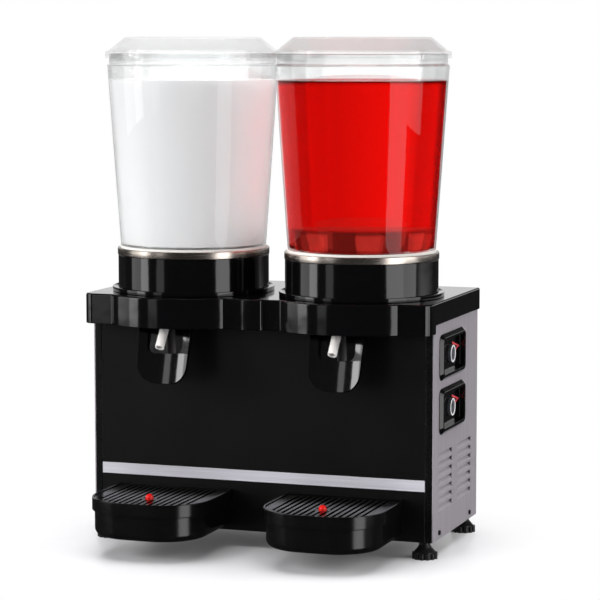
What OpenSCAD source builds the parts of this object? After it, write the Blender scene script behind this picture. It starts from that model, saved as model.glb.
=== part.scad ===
// Twin bowl cold drink dispenser for a counter, as an assembly of separate pieces.
// Millimetres. +X is the machine's right seen from the front, +Y its back, +Z up.
// The origin lies on the counter, under the middle of the machine.

/* [Cabinet] */
// Distance from a bowl's axis to the face of the side panel next to it
bowl_edge = 104.5; // [103.5:0.5:110]
// Depth from the front panel's face to the rear panel's face
body_d = 190; // [188:1:210]
// Height from the cabinet's underside to the top of the cover
body_h = 276; // [272:1:290]
// Height of the cabinet's underside above the counter
foot_h = 20; // [18:1:26]
// Thickness of the sheet metal
sheet = 1.2; // [0.9:0.1:1.4]
// Width of a front corner post
post_w = 8.3; // [7:0.1:8.8]
// Height of the trim stripe on the front panel
stripe_h = 13; // [8:1:16]
// Height of the stripe's lower edge above the cabinet's underside
stripe_up = 59; // [57:1:70]

/* [Louvres and switches] */
// Length of one louvre
louvre_l = 58; // [45:1:60]
// Rows of louvres
louvre_rows = 7; // [4:1:7]
// Spacing of the louvre rows
louvre_pitch = 10.1; // [9:0.1:10.5]
// Height of the lower switch's centre above the cabinet's underside
switch_up = 147.5; // [146:0.5:150]
// Spacing of the two switches
switch_pitch = 62.5; // [60:0.5:66]
// Length of a switch bezel
bezel_l = 103; // [98:1:108]
// Height of a switch bezel
bezel_h = 53.5; // [50:0.5:56]
// Diameter of a switch knob
knob_d = 20.4; // [18:0.2:24]

/* [Top cover] */
// Wall of the cover
cover_wall = 2.2; // [1.8:0.1:2.6]
// Height of the cover's side skirts
side_skirt = 25.6; // [22:0.2:28]
// Height of the cover's front skirt
front_skirt = 35.4; // [34:0.2:37]
// How far the cover's flat front stands ahead of the front panel
cover_reach = 27; // [25:1:30]
// How far the bulge in front of each bowl stands ahead of the flat front
bulge_out = 26; // [24:0.5:28]
// Width of a bulge where it leaves the flat front
bulge_w = 141; // [132:0.5:146]
// Radius of the hollow crease between a bulge and the flat front
bulge_blend = 4; // [2:0.5:8]

/* [Bowls] */
// Diameter of a lid over its flange
lid_d = 207; // [200:1:216]
// Height of a lid above its flange
lid_h = 19.2; // [12:0.2:24]
// Gap between the two lids
lid_space = 3; // [2:0.5:6]
// How far a lid's flange stands out past the bowl's shoulder
lid_lip = 2.5; // [2.3:0.1:3]
// How far a bowl's wall draws in from its shoulder to its foot
bowl_taper = 14.8; // [13:0.2:16]
// Height of a bowl from its foot to its shoulder
bowl_body_h = 213; // [150:1:240]
// Height of the straight rim above the shoulder
bowl_rim_h = 13.4; // [12:0.2:18]
// Wall of a bowl
bowl_wall = 2.5; // [2:0.1:3]
// Height of a collar above the cover
collar_h = 43.5; // [42:0.5:50]
// How far a collar stands out past the bowl's foot
collar_out = 3.3; // [2.8:0.1:3.8]
// Height of the evaporator plate's bright ring
ring_h = 8.1; // [7.8:0.1:9]

/* [Taps and trays] */
// Width of a tap lever
lever_w = 65; // [64:0.5:67]
// Length of a tap lever below its pivot
lever_l = 78.5; // [76:0.5:86]
// Forward lean of a tap lever at rest
lever_lean = 15.8; // [14:0.1:17]
// Outer diameter of an outlet tube
tube_od = 10.6; // [10:0.1:11]
// How far a drip tray reaches ahead of the front panel
tray_reach = 129.5; // [126:0.5:136]
// Width of a drip tray
tray_w = 142; // [136:1:146]
// Height of a drip tray
tray_h = 44; // [40:1:46]
// Width of one slot in a drip grille
slot_w = 3.6; // [3:0.1:4.2]
// Spacing of the grille's slots
slot_pitch = 7.6; // [7:0.1:8.5]

/* [Fits] */
// Running clearance of a pin or shaft in its bore
run_gap = 0.05; // [0.03:0.01:0.08]
// Gap between pieces that lift off or slide
slide_gap = 0.4; // [0.3:0.05:0.6]
// Gap between the cover and the panels inside it
cover_gap = 0.3; // [0.2:0.05:0.4]

/* [Hidden] */
$fn = 96;

// Bowl sizes that follow from the lid
bowl_pitch = lid_d + lid_space;
bowl_top_d = lid_d - 2 * lid_lip;
bowl_base_d = bowl_top_d - 2 * bowl_taper;
collar_d = bowl_base_d + 2 * collar_out;
outlet_fwd = collar_d / 2 - 21.5;
outlet_ahead = 10;
bowl_setback = outlet_fwd - outlet_ahead;

// Main planes and axes
inlet_flange = 2;
body_w = bowl_pitch + 2 * bowl_edge;
half_w = body_w / 2;
front_y = tray_reach - (tray_reach + body_d + inlet_flange) / 2;
rear_y = front_y + body_d;
base_z = foot_h;
floor_z = base_z + sheet;
cover_top = base_z + body_h;
ceiling_z = cover_top - cover_wall;
panel_half = half_w - sheet - post_w - slide_gap;
inner_half = half_w - sheet;
bowl_x = bowl_pitch / 2;
bowl_y = front_y + bowl_setback;
collar_top = cover_top + collar_h;
plate_top = collar_top + ring_h;
gasket_t = 2.3;
bowl_z = plate_top + gasket_t;
shoulder_z = bowl_z + bowl_body_h;
rim_z = shoulder_z + bowl_rim_h;

// Feet
foot_x = half_w - 13;
foot_y = [front_y + 12, rear_y - 12];
stud_d = 8;
nut_d = 13;
nut_h = 8;

// Screws
screw_d = 3.2;
screw_head_d = 5.6;
screw_y = [front_y + 25, rear_y - 33];
screw_z = base_z + 8;
rear_screw_x = 120;

// Shapes that several pieces share

module rounded_rect(w, h, r) {
  square([w - 2 * r, h], center = true);
  square([w, h - 2 * r], center = true);
  for (sx = [-1, 1], sy = [-1, 1])
    translate([sx * (w / 2 - r), sy * (h / 2 - r)]) circle(r);
}

function arc(c, r, a0, a1, steps) =
  [for (i = [0:steps]) c + r * [cos(a0 + (a1 - a0) * i / steps), sin(a0 + (a1 - a0) * i / steps)]];

// Rings of points round each point of a route; across is a direction that no stretch of it takes
function tube_rings(route, r, sides, across) =
  let (last = len(route) - 1)
  [for (i = [0:last])
    let (
      way = route[min(i + 1, last)] - route[max(i - 1, 0)],
      u = cross(across, way),
      un = u / norm(u),
      wn = cross(way, un) / norm(way)
    )
    for (k = [0:sides - 1]) route[i] + r * (cos(360 * k / sides) * un + sin(360 * k / sides) * wn)];

// Triangles between the rings, numbered from first
function tube_skin(stations, sides, first) =
  [for (i = [0:stations - 2], k = [0:sides - 1])
    let (a = first + i * sides + k, b = first + i * sides + (k + 1) % sides)
      each [[a, a + sides, b], [b, a + sides, b + sides]]];

// Solid wire of triangles along a route
module wire(route, r, sides, across = [0, 0, 1]) {
  end = (len(route) - 1) * sides;
  start_cap = [for (k = [1:sides - 2]) [0, k, k + 1]];
  end_cap = [for (k = [1:sides - 2]) [end, end + k + 1, end + k]];
  polyhedron(
    tube_rings(route, r, sides, across),
    concat(tube_skin(len(route), sides, 0), start_cap, end_cap), convexity = 10
  );
}

// Hollow hose of triangles along a route
module hose(route, outer_r, inner_r, sides, across) {
  n = len(route) * sides;
  end = n - sides;
  inner_skin = [for (f = tube_skin(len(route), sides, n)) [f[2], f[1], f[0]]];
  start_ring = [for (k = [0:sides - 1]) let (j = (k + 1) % sides) each [[k, j, n + j], [k, n + j, n + k]]];
  end_ring = [for (f = start_ring) [f[2] + end, f[1] + end, f[0] + end]];
  polyhedron(
    concat(tube_rings(route, outer_r, sides, across), tube_rings(route, inner_r, sides, across)),
    concat(tube_skin(len(route), sides, 0), inner_skin, start_ring, end_ring), convexity = 10
  );
}

// A route with each corner rounded, starting d before the corner
function rounded_route(p, d) =
  let (last = len(p) - 1)
  concat(
    [p[0]],
    [for (i = [1:last - 1])
      let (
        a = p[i] - d * (p[i] - p[i - 1]) / norm(p[i] - p[i - 1]),
        b = p[i] + d * (p[i + 1] - p[i]) / norm(p[i + 1] - p[i])
      )
      for (t = [0:0.25:1]) (1 - t) * (1 - t) * a + 2 * t * (1 - t) * p[i] + t * t * b],
    [p[last]]
  );

// Moves a piece onto the axis of the left (-1) or right (1) bowl, at height z
module at_bowl(s, z = 0) translate([s * bowl_x, bowl_y, z]) children();

// Cabinet

post_d = 6;

module base_pan() {
  flange = 12;
  pan_front = front_y + sheet;
  pan_d = body_d - 2 * sheet;
  color("dimgray") difference() {
    translate([-inner_half, pan_front, base_z]) cube([2 * inner_half, pan_d, flange]);
    translate([-inner_half + sheet, pan_front + sheet, floor_z])
      cube([2 * (inner_half - sheet), pan_d - 2 * sheet, flange]);
    // notches for the corner posts
    for (s = [-1, 1])
      translate([s * (inner_half - post_w / 2), front_y + post_d / 2, base_z])
        cube([post_w + 0.2, post_d + 0.2, 4 * flange], center = true);
    for (s = [-1, 1], y = foot_y)
      translate([s * foot_x, y, base_z - 1]) cylinder(d = stud_d + 2, h = sheet + 2);
    for (y = screw_y)
      translate([-half_w, y, screw_z]) rotate([0, 90, 0]) cylinder(d = screw_d + 0.2, h = body_w);
  }
}

module foot_nuts() {
  color("silver")
    for (s = [-1, 1], y = foot_y)
      translate([s * foot_x, y, floor_z])
        difference() {
          cylinder(d = nut_d, h = nut_h);
          translate([0, 0, -1]) cylinder(d = stud_d + 2 * run_gap, h = nut_h + 2);
        }
}

// Tongues on a tray that slide into slots in the front panel
tongue_w = 14;
tongue_t = 4;
tongue_x = 42;
tongue_z = base_z + 26;

module front_panel() {
  color([0.09, 0.09, 0.09]) difference() {
    translate([-panel_half, front_y, base_z]) cube([2 * panel_half, sheet, ceiling_z - base_z]);
    for (s = [-1, 1], t = [-1, 1])
      translate([s * bowl_x + t * tongue_x, front_y, tongue_z])
        cube([tongue_w + 2 * slide_gap, 6 * sheet, tongue_t + 2 * slide_gap], center = true);
  }
}

stripe_t = 0.4;

module trim_stripe() {
  color([0.81, 0.8, 0.84])
    translate([-panel_half, front_y - stripe_t, base_z + stripe_up])
      cube([2 * panel_half, stripe_t, stripe_h]);
}

module corner_posts() {
  color([0.07, 0.07, 0.07])
    for (s = [-1, 1])
      translate([s * (inner_half - post_w / 2), front_y + post_d / 2, base_z])
        linear_extrude(ceiling_z - base_z) rounded_rect(post_w, post_d, 1);
}

// Louvres: a slot whose lower strip is pressed inwards as a sloping tongue
louvre_h = 6.6;
louvre_in = 5;
louvre_y = [front_y + 21, front_y + 104];
louvre_z = base_z + 32.5;

module louvre_slots() {
  for (y = louvre_y, i = [0:louvre_rows - 1])
    translate([half_w - 2 * sheet, y, louvre_z + i * louvre_pitch])
      cube([3 * sheet, louvre_l, louvre_h]);
}

module louvre_tongues() {
  for (y = louvre_y, i = [0:louvre_rows - 1])
    translate([half_w, y + louvre_l, louvre_z + i * louvre_pitch])
      rotate([90, 0, 0])
        linear_extrude(louvre_l)
          polygon([
            [0, -0.5], [0, 0], [-louvre_in, louvre_h - 0.6],
            [-louvre_in - sheet, louvre_h - 0.6], [-sheet, -0.5]
          ]);
}

// A side panel as the right one, mirrored for the left
module side_sheet() {
  difference() {
    translate([inner_half, front_y, base_z]) cube([sheet, body_d, ceiling_z - base_z]);
    louvre_slots();
    for (y = screw_y)
      translate([inner_half - 1, y, screw_z]) rotate([0, 90, 0]) cylinder(d = screw_d + 0.2, h = sheet + 2);
  }
  louvre_tongues();
}

module left_side_panel() {
  color([0.7, 0.69, 0.72]) mirror([1, 0, 0]) side_sheet();
}

module right_side_panel() {
  color([0.7, 0.69, 0.72]) difference() {
    side_sheet();
    for (i = [0, 1])
      at_switch(i)
        translate([0, 0, -5 * sheet])
          linear_extrude(10 * sheet) rounded_rect(cup_l + 1, cup_h + 1, 5.5);
  }
}

inlet_x = -inner_half + 58.3;
inlet_z = base_z + 62;
inlet_w = 30;
inlet_h = 24;

module rear_panel() {
  vent_l = 120;
  vent_rows = 8;
  vent_pitch = 12;
  color([0.65, 0.65, 0.67]) difference() {
    translate([-inner_half, rear_y - sheet, base_z])
      cube([2 * inner_half, sheet, ceiling_z - base_z]);
    for (s = [-1, 1], i = [0:vent_rows - 1])
      translate([s * 75 - vent_l / 2, rear_y - 2 * sheet, base_z + 110 + i * vent_pitch])
        cube([vent_l, 3 * sheet, 4.5]);
    translate([inlet_x, rear_y, inlet_z])
      cube([inlet_w + 0.6, 6 * sheet, inlet_h + 0.6], center = true);
    for (s = [-1, 1])
      translate([s * rear_screw_x, rear_y - 2 * sheet, screw_z])
        rotate([-90, 0, 0]) cylinder(d = screw_d + 0.2, h = 4 * sheet);
  }
}

module pan_screw() {
  difference() {
    union() {
      cylinder(d = screw_head_d, h = 1.6);
      translate([0, 0, -sheet]) cylinder(d = screw_d, h = sheet + 0.1);
    }
    translate([0, 0, 1.1]) cube([3.4, 0.8, 2], center = true);
    translate([0, 0, 1.1]) cube([0.8, 3.4, 2], center = true);
  }
}

module panel_screws() {
  color("black") {
    for (s = [-1, 1], y = screw_y)
      translate([s * half_w, y, screw_z]) rotate([0, s * 90, 0]) pan_screw();
    for (s = [-1, 1])
      translate([s * rear_screw_x, rear_y, screw_z]) rotate([-90, 0, 0]) pan_screw();
  }
}

// Top cover

half_cover = half_w + cover_gap + cover_wall;
cover_corner = 13;
collar_hole_d = collar_d - 9;
cover_front = front_y - cover_reach;
bulge_r = (pow(bulge_w / 2, 2) + pow(bulge_out, 2)) / (2 * bulge_out);
bulge_y = cover_front - bulge_out + bulge_r;

// The cover's plan, drawn in by t at the front and sides
function cover_plan(t, back) =
  let (
    w = half_cover - t,
    r = cover_corner - t,
    dy = bulge_y - cover_front + bulge_blend,
    reach = bulge_r + bulge_blend,
    dx = sqrt(reach * reach - dy * dy),
    lean = atan2(dy, dx)
  )
  concat(
    [[w, back], [-w, back]],
    arc([-(w - r), cover_front + cover_corner], r, 180, 270, 6),
    [for (s = [-1, 1])
      let (b = [s * bowl_x, bulge_y], f = [dx, -dy])
        each concat(
          arc(b + [-f.x, f.y], bulge_blend + t, 90, lean, 4),
          arc(b, bulge_r - t, 180 + lean, 360 - lean, 24),
          arc(b + f, bulge_blend + t, 180 - lean, 90, 4)
        )],
    arc([w - r, cover_front + cover_corner], r, 270, 360, 6)
  );

module top_cover() {
  front_z = cover_top - front_skirt;
  side_z = cover_top - side_skirt;
  band_w = 27;
  band_out = 5;
  band_c = [band_w / 2 - band_out, cover_front];
  color([0.05, 0.05, 0.06]) difference() {
    union() {
      // raised band down the middle of the flat front
      translate([0, 0, front_z]) linear_extrude(front_skirt)
        polygon(concat(
          [[-band_w / 2, cover_front + 1]],
          arc([-band_c.x, band_c.y], band_out, 180, 270, 6),
          arc(band_c, band_out, 270, 360, 6),
          [[band_w / 2, cover_front + 1]]
        ));
      translate([0, 0, side_z]) linear_extrude(side_skirt) polygon(cover_plan(0, rear_y));
      intersection() {
        translate([0, 0, front_z]) linear_extrude(front_skirt) polygon(cover_plan(0, rear_y));
        translate([-body_w, front_y - cover_gap - body_w, front_z]) cube([2 * body_w, body_w, front_skirt]);
      }
    }
    translate([0, 0, front_z - 1])
      linear_extrude(ceiling_z - front_z + 1) polygon(cover_plan(cover_wall, rear_y + 1));
    for (s = [-1, 1]) at_bowl(s, ceiling_z - 1) cylinder(d = collar_hole_d, h = cover_wall + 2);
  }
}

// Collars, evaporators and mixing drive

collar_wall = 3;
web_t = 3;
shaft_d = 8;
riser_r = 3;
riser_back = collar_d / 2 - 31.5;
outlet_lean = 8;

module collar(s) {
  r = collar_d / 2;
  lip_r = r + 7;
  lip_h = 5.5;
  ledge_r = r - 7.5;
  hub_r = 10.5;
  color([0.05, 0.05, 0.06]) at_bowl(s, cover_top) difference() {
    rotate_extrude()
      polygon([
        [hub_r, 0], [lip_r - 1, 0], [lip_r, 1.5], [lip_r, lip_h], [lip_r - 1.2, lip_h], [r, lip_h - 2.5],
        [r, collar_h], [ledge_r, collar_h], [ledge_r, collar_h - 3],
        [r - collar_wall, collar_h - 8], [r - collar_wall, web_t], [hub_r, web_t]
      ]);
    // way through the web for the outlet tube and the suction pipe
    translate([0, -outlet_fwd - 10, 0]) cube([18, 26, 4 * web_t], center = true);
    translate([0, riser_back, -1]) cylinder(r = riser_r + 2, h = web_t + 2);
  }
}

module left_collar() collar(-1);
module right_collar() collar(1);

plate_t = 2;
stud_h = 22;
spigot_od = 6.8;

// Frame at an outlet, with -Z along the leaning pipe
module at_outlet(s)
  at_bowl(s, plate_top) translate([0, -outlet_fwd, 0]) rotate([-outlet_lean, 0, 0]) children();

module evaporator(s) {
  r = collar_d / 2 + 0.7;
  skirt_t = 2;
  spigot_l = 22;
  color([0.75, 0.74, 0.72]) difference() {
    union() {
      at_bowl(s, collar_top)
        rotate_extrude()
          polygon([
            [0, ring_h - plate_t], [r - skirt_t, ring_h - plate_t], [r - skirt_t, 0], [r, 0],
            [r, ring_h - 0.8], [r - 0.8, ring_h], [0, ring_h]
          ]);
      at_bowl(s, plate_top - 0.5) cylinder(d = shaft_d, h = stud_h + 0.5);
      at_outlet(s) translate([0, 0, -spigot_l]) cylinder(d = spigot_od, h = spigot_l - 1);
    }
    at_outlet(s) translate([0, 0, -spigot_l - 1]) cylinder(d = spigot_od - 2, h = spigot_l + 4);
  }
}

module left_evaporator() evaporator(-1);
module right_evaporator() evaporator(1);

coil_r = 3;
coil_z = plate_top - plate_t - coil_r - 0.2;

module evaporator_coils() {
  turns = 3;
  steps = 24 * turns;
  inner = 35;
  color([0.72, 0.45, 0.2])
    for (s = [-1, 1])
      at_bowl(s, coil_z)
        wire(
          [for (i = [0:steps])
            let (a = 90 + 360 * turns * i / steps, q = inner + (riser_back - inner) * i / steps)
              [q * cos(a), q * sin(a), 0]],
          coil_r, 8
        );
}

module foam_rings() {
  top = coil_z - coil_r - 0.3;
  low = cover_top + web_t;
  color([0.93, 0.9, 0.75])
    for (s = [-1, 1])
      at_bowl(s, low) difference() {
        cylinder(r = collar_d / 2 - collar_wall - 8, h = top - low);
        translate([0, 0, -1]) cylinder(r = 34, h = top);
        translate([-9, -collar_d, -1]) cube([18, collar_d - outlet_fwd + 18, top]);
        translate([0, riser_back, -1]) cylinder(r = riser_r + 2, h = top);
      }
}

magnet_z = coil_z - 16;

module mixer_motors() {
  body_r = 28;
  body_l = 40;
  color([0.6, 0.6, 0.62])
    for (s = [-1, 1])
      at_bowl(s, cover_top) {
        translate([0, 0, -3]) cylinder(r = 34, h = 3);
        translate([0, 0, -3 - body_l]) cylinder(r = body_r, h = body_l + 1);
        translate([0, 0, -1]) cylinder(d = shaft_d, h = magnet_z + 8 - cover_top + 1);
      }
}

module drive_magnet(s) {
  color([0.25, 0.25, 0.28]) at_bowl(s, magnet_z) difference() {
    union() {
      cylinder(r = 30, h = 12);
      translate([0, 0, -10]) cylinder(r = 9, h = 11);
    }
    translate([0, 0, -11]) cylinder(d = shaft_d + 2 * run_gap, h = 20);
  }
}

module left_drive_magnet() drive_magnet(-1);
module right_drive_magnet() drive_magnet(1);

// Bell shaped agitator that turns on the plate's stud, with wide windows round its wall
module agitator(s) {
  top_r = bowl_base_d / 2 - 24.7;
  low_r = top_r - 5.5;
  high = 28;
  wall = 3;
  windows = 6;
  window_top = 33;
  window_low = 27;
  sill = 3;
  head = 4;
  rest_turn = -64;
  color([0.12, 0.1, 0.1]) at_bowl(s, plate_top + 0.4) rotate([0, 0, rest_turn]) difference() {
    union() {
      rotate_extrude()
        polygon([
          [low_r - wall, 0], [low_r, 0], [top_r, high], [0, high], [0, high - wall], [top_r - wall, high - wall]
        ]);
      // hub on the stud, and the disc of magnets that follows the drive under the plate
      cylinder(r = 8, h = high - 1);
      cylinder(r = 24, h = 4);
    }
    translate([0, 0, -1]) cylinder(d = shaft_d + 2 * run_gap, h = stud_h + 2);
    for (i = [0:windows - 1])
      rotate([0, 0, i * 360 / windows]) translate([low_r - 14, 0, 0]) rotate([90, 0, 90])
        linear_extrude(28)
          polygon([
            [-window_low / 2, sill], [window_low / 2, sill],
            [window_top / 2, high - head], [-window_top / 2, high - head]
          ]);
  }
}

module left_agitator() agitator(-1);
module right_agitator() agitator(1);

// Bowls and lids

foot_in = 8;

module gasket(s) {
  r = bowl_base_d / 2;
  color("white") at_bowl(s, plate_top) difference() {
    cylinder(r = r + 0.8, h = gasket_t);
    translate([0, 0, -1]) cylinder(r = r - foot_in + 0.5, h = gasket_t + 2);
  }
}

module left_gasket() gasket(-1);
module right_gasket() gasket(1);

rim_r = bowl_top_d / 2 - 2.25;

module bowl(s) {
  base_r = bowl_base_d / 2;
  top_r = bowl_top_d / 2;
  foot_t = 3;
  rim = bowl_body_h + bowl_rim_h;
  color([0.9, 0.95, 0.97, 0.35]) at_bowl(s, bowl_z)
    rotate_extrude()
      polygon([
        [base_r - foot_in, 0], [base_r, 0], [top_r, bowl_body_h], [rim_r, bowl_body_h + 2],
        [rim_r, rim], [rim_r - bowl_wall, rim], [rim_r - bowl_wall, bowl_body_h + 1.5],
        [top_r - bowl_wall, bowl_body_h - 1], [base_r - bowl_wall, foot_t], [base_r - foot_in, foot_t]
      ]);
}

module left_bowl() bowl(-1);
module right_bowl() bowl(1);

module lid(s) {
  r = lid_d / 2;
  wall = 2.2;
  plug_r = rim_r - bowl_wall - slide_gap;
  plug_h = 9.5;
  lip_h = 5.5;
  top_r = r - 23.5;
  slope_r = r - 4;
  round_r = 6;
  lean = atan2(lid_h - 3.4, slope_r - top_r);
  notches = 8;
  // plateau edge rounded into the slope
  edge = arc([top_r - round_r * tan(lean / 2), lid_h - round_r], round_r, 90, 90 - lean, 6);
  color([0.93, 0.96, 0.98, 0.35]) at_bowl(s, rim_z) difference() {
    rotate_extrude()
      polygon(concat(
        [[0, lid_h - wall], [0, lid_h]], edge,
        [[slope_r, 3.4], [r - 0.8, 2.6], [r, 1.8], [r, -lip_h], [r - 1.8, -lip_h], [r - 1.8, 0],
        [plug_r, 0], [plug_r, -plug_h], [plug_r - 2, -plug_h], [plug_r - 2, 4.5],
        [top_r - 1.5, lid_h - wall]]
      ));
    for (i = [0:notches - 1])
      rotate([0, 0, (i + 0.5) * 360 / notches]) translate([r + 1, 0, 0.4]) cylinder(r = 2.2, h = 4);
  }
}

module left_lid() lid(-1);
module right_lid() lid(1);

// Taps

tube_id = 7;
tube_bend = 40;
tube_turn = 30;
tube_run = collar_h + ring_h + 7.4;
tube_tail = 40;

module outlet_tube(s) {
  start = 6;
  bend = [for (i = [0:6]) i * tube_turn / 6];
  tail = [tube_bend * (cos(tube_turn) - 1), -tube_run - tube_bend * sin(tube_turn)]
    - tube_tail * [sin(tube_turn), cos(tube_turn)];
  route = concat(
    [[0, 0, -start]],
    [for (a = bend) [0, tube_bend * (cos(a) - 1), -tube_run - tube_bend * sin(a)]],
    [[0, tail.x, tail.y]]
  );
  color([0.95, 0.95, 0.93]) at_outlet(s) hose(route, tube_od / 2, tube_id / 2, 24, [1, 0, 0]);
}

module left_outlet_tube() outlet_tube(-1);
module right_outlet_tube() outlet_tube(1);

pivot_y = front_y - 24.5;
pivot_z = base_z + 252;
pin_d = 5;
pin_in = lever_w / 2 - 11;
ear_in = lever_w / 2 + 0.8;
ear_t = 2;
spring_y = pivot_y + 15;
spring_low = pivot_z + 3.3;
bracket_top = ceiling_z - 0.6;
bracket_t = 2;
spring_x = lever_w / 2 - 4.5;

module tap_bracket() {
  ear_reach = pivot_y - 7;
  low = pivot_z - 8;
  anvil_z = pivot_z + 9.5;
  anvil_y = front_y - 12.8;
  difference() {
    union() {
      translate([-ear_in - ear_t, front_y - bracket_t, low])
        cube([2 * (ear_in + ear_t), bracket_t, bracket_top - low]);
      for (s = [-1, 1])
        translate([s * (ear_in + ear_t / 2) - ear_t / 2, ear_reach, low])
          cube([ear_t, front_y - ear_reach, bracket_top - low]);
      translate([-ear_in - ear_t, ear_reach, bracket_top - bracket_t])
        cube([2 * (ear_in + ear_t), front_y - ear_reach, bracket_t]);
      translate([-10, anvil_y, anvil_z]) cube([20, front_y - anvil_y, 6]);
    }
    // way down for the outlet tube
    translate([-12, ear_reach - 1, bracket_top - 2 * bracket_t]) cube([24, 26, 4 * bracket_t]);
    translate([-body_w / 4, pivot_y, pivot_z]) rotate([0, 90, 0]) cylinder(d = pin_d, h = body_w / 2);
  }
}

module tap_brackets() {
  color([0.7, 0.7, 0.7])
    for (s = [-1, 1]) translate([s * bowl_x, 0, 0]) tap_bracket();
}

module lever_pins() {
  color("silver")
    for (s = [-1, 1], t = [-1, 1])
      translate([s * bowl_x, pivot_y, pivot_z]) rotate([0, t * 90, 0]) {
        translate([0, 0, pin_in]) cylinder(d = pin_d, h = ear_in + ear_t - pin_in);
        translate([0, 0, ear_in + ear_t]) cylinder(d = pin_d + 2.5, h = 1.5);
      }
}

// The lever's outline below the pivot, in a plane along its width and length:
// sides that draw in a little towards wide round corners
module tongue_plan() {
  r = 21;
  draw_in = 2.5;
  top = -6;
  corner_z = r - lever_l;
  touch_x = lever_w / 2 - (top - corner_z + r * sin(draw_in)) * tan(draw_in);
  corner_x = touch_x - r * cos(draw_in);
  polygon(concat(
    [[-lever_w / 2, top], [lever_w / 2, top]],
    arc([corner_x, corner_z], r, -draw_in, -90, 10),
    arc([-corner_x, corner_z], r, -90, draw_in - 180, 10)
  ));
}

// Outline of the pocket in the lever's face that the outlet tube hangs in
module pocket_plan() {
  half = 22;
  end = 43.5;
  r = 9;
  translate([-half, r - end]) square([2 * half, end - r + 6]);
  translate([r - half, -end]) square([2 * (half - r), r + 1]);
  for (s = [-1, 1]) translate([s * (half - r), r - end]) circle(r);
}

module tap_lever(s) {
  lip = 7.5;
  hollow = 9;
  back = 6.5;
  back_r = 100;
  scoop_r = (pow(lever_w / 2 + 3, 2) + pow(hollow, 2)) / (2 * hollow);
  pocket_w = 44;
  arm_w = 9;
  web_top = 14;
  bar_y = 8.4;
  color([0.05, 0.05, 0.06])
    translate([s * bowl_x, pivot_y, pivot_z])
      rotate([-lever_lean, 0, 0]) difference() {
        union() {
          // a shell that is hollow from side to side, to take the round of a cup
          difference() {
            intersection() {
              translate([0, back + 1, 0]) rotate([90, 0, 0]) linear_extrude(back + lip + 1) tongue_plan();
              translate([0, back - back_r, -2 * lever_l]) cylinder(r = back_r, h = 3 * lever_l);
            }
            translate([0, hollow - lip - scoop_r, -2 * lever_l]) cylinder(r = scoop_r, h = 3 * lever_l);
          }
          for (t = [-1, 1]) {
            // hub round the pivot pin, arm up to the pinch bar and down to the shell
            translate([t * (lever_w - arm_w) / 2, 0, 0]) rotate([0, 90, 0])
              cylinder(r = 7, h = arm_w, center = true);
            translate([t * (lever_w - arm_w) / 2 - arm_w / 2, -1, -16]) cube([arm_w, 7, 16]);
            translate([t * (lever_w - arm_w) / 2 - arm_w / 2, -bar_y, 4]) cube([arm_w, bar_y, 10]);
          }
          translate([-lever_w / 2, -bar_y, 8]) cube([lever_w, 4, 6]);
        }
        // the pocket leaves a web behind the tube, and is open above it
        translate([0, 2.5, 0]) rotate([90, 0, 0]) linear_extrude(2 * lip + 2.5) pocket_plan();
        translate([-pocket_w / 2, -lip, -web_top]) cube([pocket_w, 4 * lip, web_top + 6]);
        translate([-lever_w, 0, 0]) rotate([0, 90, 0]) cylinder(d = pin_d + 2 * run_gap, h = 2 * lever_w);
      }
  // rear finger under the return spring
  color([0.05, 0.05, 0.06])
    translate([s * bowl_x + spring_x - 4.5, pivot_y + 4, pivot_z - 1.7]) cube([9, 15, 5]);
}

module left_tap_lever() tap_lever(-1);
module right_tap_lever() tap_lever(1);

module tap_spring(s) {
  turns = 4;
  wire_r = 0.55;
  coil = 3.2;
  low = spring_low + wire_r + 0.1;
  high = bracket_top - bracket_t - wire_r - 0.1;
  steps = 12 * turns;
  color("silver")
    translate([s * bowl_x + spring_x, spring_y, low])
      wire(
        [for (i = [0:steps])
          let (a = 360 * turns * i / steps)
            [coil * cos(a), coil * sin(a), (high - low) * i / steps]],
        wire_r, 6
      );
}

module left_tap_spring() tap_spring(-1);
module right_tap_spring() tap_spring(1);

// Drip trays

tray_corner = 55;
tray_core = tray_w / 2 - tray_corner;
tray_low = base_z + 5;
tray_top = tray_low + tray_h;
tray_back = front_y - 0.6;
tray_turn_y = tray_back + 0.6 - tray_reach + tray_corner;
band_h = 15;
tray_wall = 2.5;
grille_t = 3.5;
grille_top = tray_top - 1.5;

// A tray shape swept from a profile of radius and height: rounded front corners, straight sides
module tray_sweep(back, low, high) {
  for (s = [-1, 1])
    translate([s * tray_core, tray_turn_y, 0]) rotate([0, 0, s > 0 ? -90 : 180])
      rotate_extrude(angle = 90) children();
  translate([tray_core, tray_turn_y, 0]) rotate([90, 0, -90]) linear_extrude(2 * tray_core) children();
  for (m = [0, 1])
    mirror([m, 0, 0]) translate([tray_core, back, 0]) rotate([90, 0, 0])
      linear_extrude(back - tray_turn_y) children();
  translate([-tray_core, tray_turn_y, low]) cube([2 * tray_core, back - tray_turn_y, high - low]);
}

// Profile from the centre out to r, with its lower corner rounded
module cup_profile(r, low, high, round_r) {
  translate([0, low + round_r]) square([r, high - low - round_r]);
  translate([0, low]) square([r - round_r, round_r + 0.1]);
  translate([r - round_r, low + round_r]) circle(round_r);
}

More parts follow.
